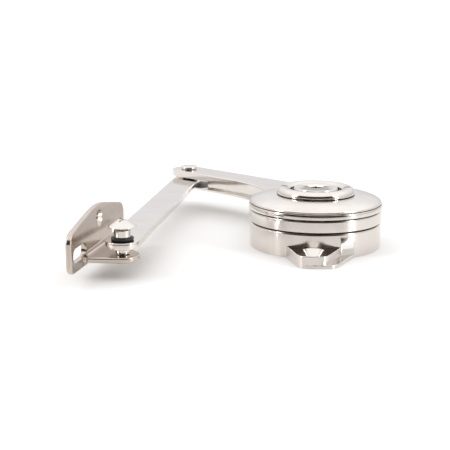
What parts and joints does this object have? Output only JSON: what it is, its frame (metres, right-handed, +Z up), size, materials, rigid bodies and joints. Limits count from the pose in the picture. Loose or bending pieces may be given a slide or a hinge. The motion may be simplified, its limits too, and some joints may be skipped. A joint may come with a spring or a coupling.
{
  "type": "door closer",
  "caption": "Round drum door closer with a damped spindle, a tangential forked swing arm, a flat link bar and a slotted L-shaped wall bracket on a mushroom-headed pivot stud.",
  "frame": {"origin": "centre of the drum's flat underside, on the axis that the swing arm turns about", "axes": "+Z up the drum's axis from its mounting face; the two screw lugs point along -Y and +Y; at rest the swing arm leaves towards -X and +Y, and the wall bracket hangs off the link on the -X side"},
  "size_m": [0.1247, 0.1776, 0.0273],
  "materials": {
    "polished_nickel": "polished nickel plate on steel",
    "satin_nickel": "turned and satin plated",
    "spring_steel": "oiled spring steel",
    "bearing_bronze": "sintered bearing bronze",
    "black_nylon": "moulded nylon",
    "seal_rubber": "nitrile rubber"
  },
  "bodies": {
    "housing": {"base_housing": "polished_nickel", "glide_ring": "black_nylon", "stop_pin": "spring_steel", "damper_cup": "satin_nickel", "damper_lid": "satin_nickel", "spindle_bush": "bearing_bronze", "closing_spring": "spring_steel", "spindle_seal": "seal_rubber"},
    "arm": {"lower_arm": "polished_nickel", "upper_arm": "polished_nickel", "clamp_rivet_1": "satin_nickel", "clamp_rivet_2": "satin_nickel", "clamp_rivet_3": "satin_nickel", "spindle": "satin_nickel", "damper_rotor": "satin_nickel", "drum_cover": "polished_nickel", "retaining_ring": "polished_nickel", "elbow_rivet": "polished_nickel", "elbow_bush": "black_nylon"},
    "adjuster": {"tension_adjuster": "polished_nickel"},
    "link": {"link_bar": "polished_nickel"},
    "bracket": {"mounting_bracket": "polished_nickel", "pivot_stud": "polished_nickel", "lower_spacer": "polished_nickel", "nylon_washer": "black_nylon", "upper_sleeve": "polished_nickel"}
  },
  "joints": [
    {"name": "arm_swing", "type": "hinge", "parent": "housing", "child": "arm", "pos_m": [0, 0, 0.014], "axis": [0, 0, 1], "range_deg": [0, 110], "stiffness_Nm_per_rad": 1.2, "springref_deg": -28.65},
    {"name": "adjuster_turn", "type": "hinge", "parent": "arm", "child": "adjuster", "pos_m": [0, 0, 0.024], "axis": [0, 0, 1], "range_deg": [0, 180]},
    {"name": "elbow_fold", "type": "hinge", "parent": "arm", "child": "link", "pos_m": [-0.06989, 0.08239, 0.0142], "axis": [0, 0, -1], "range_deg": [-12, 110]},
    {"name": "bracket_swivel", "type": "hinge", "parent": "link", "child": "bracket", "pos_m": [-0.07609, -0.06548, 0.0142], "axis": [0, 0, 1], "range_deg": [-3, 180]}
  ]
}
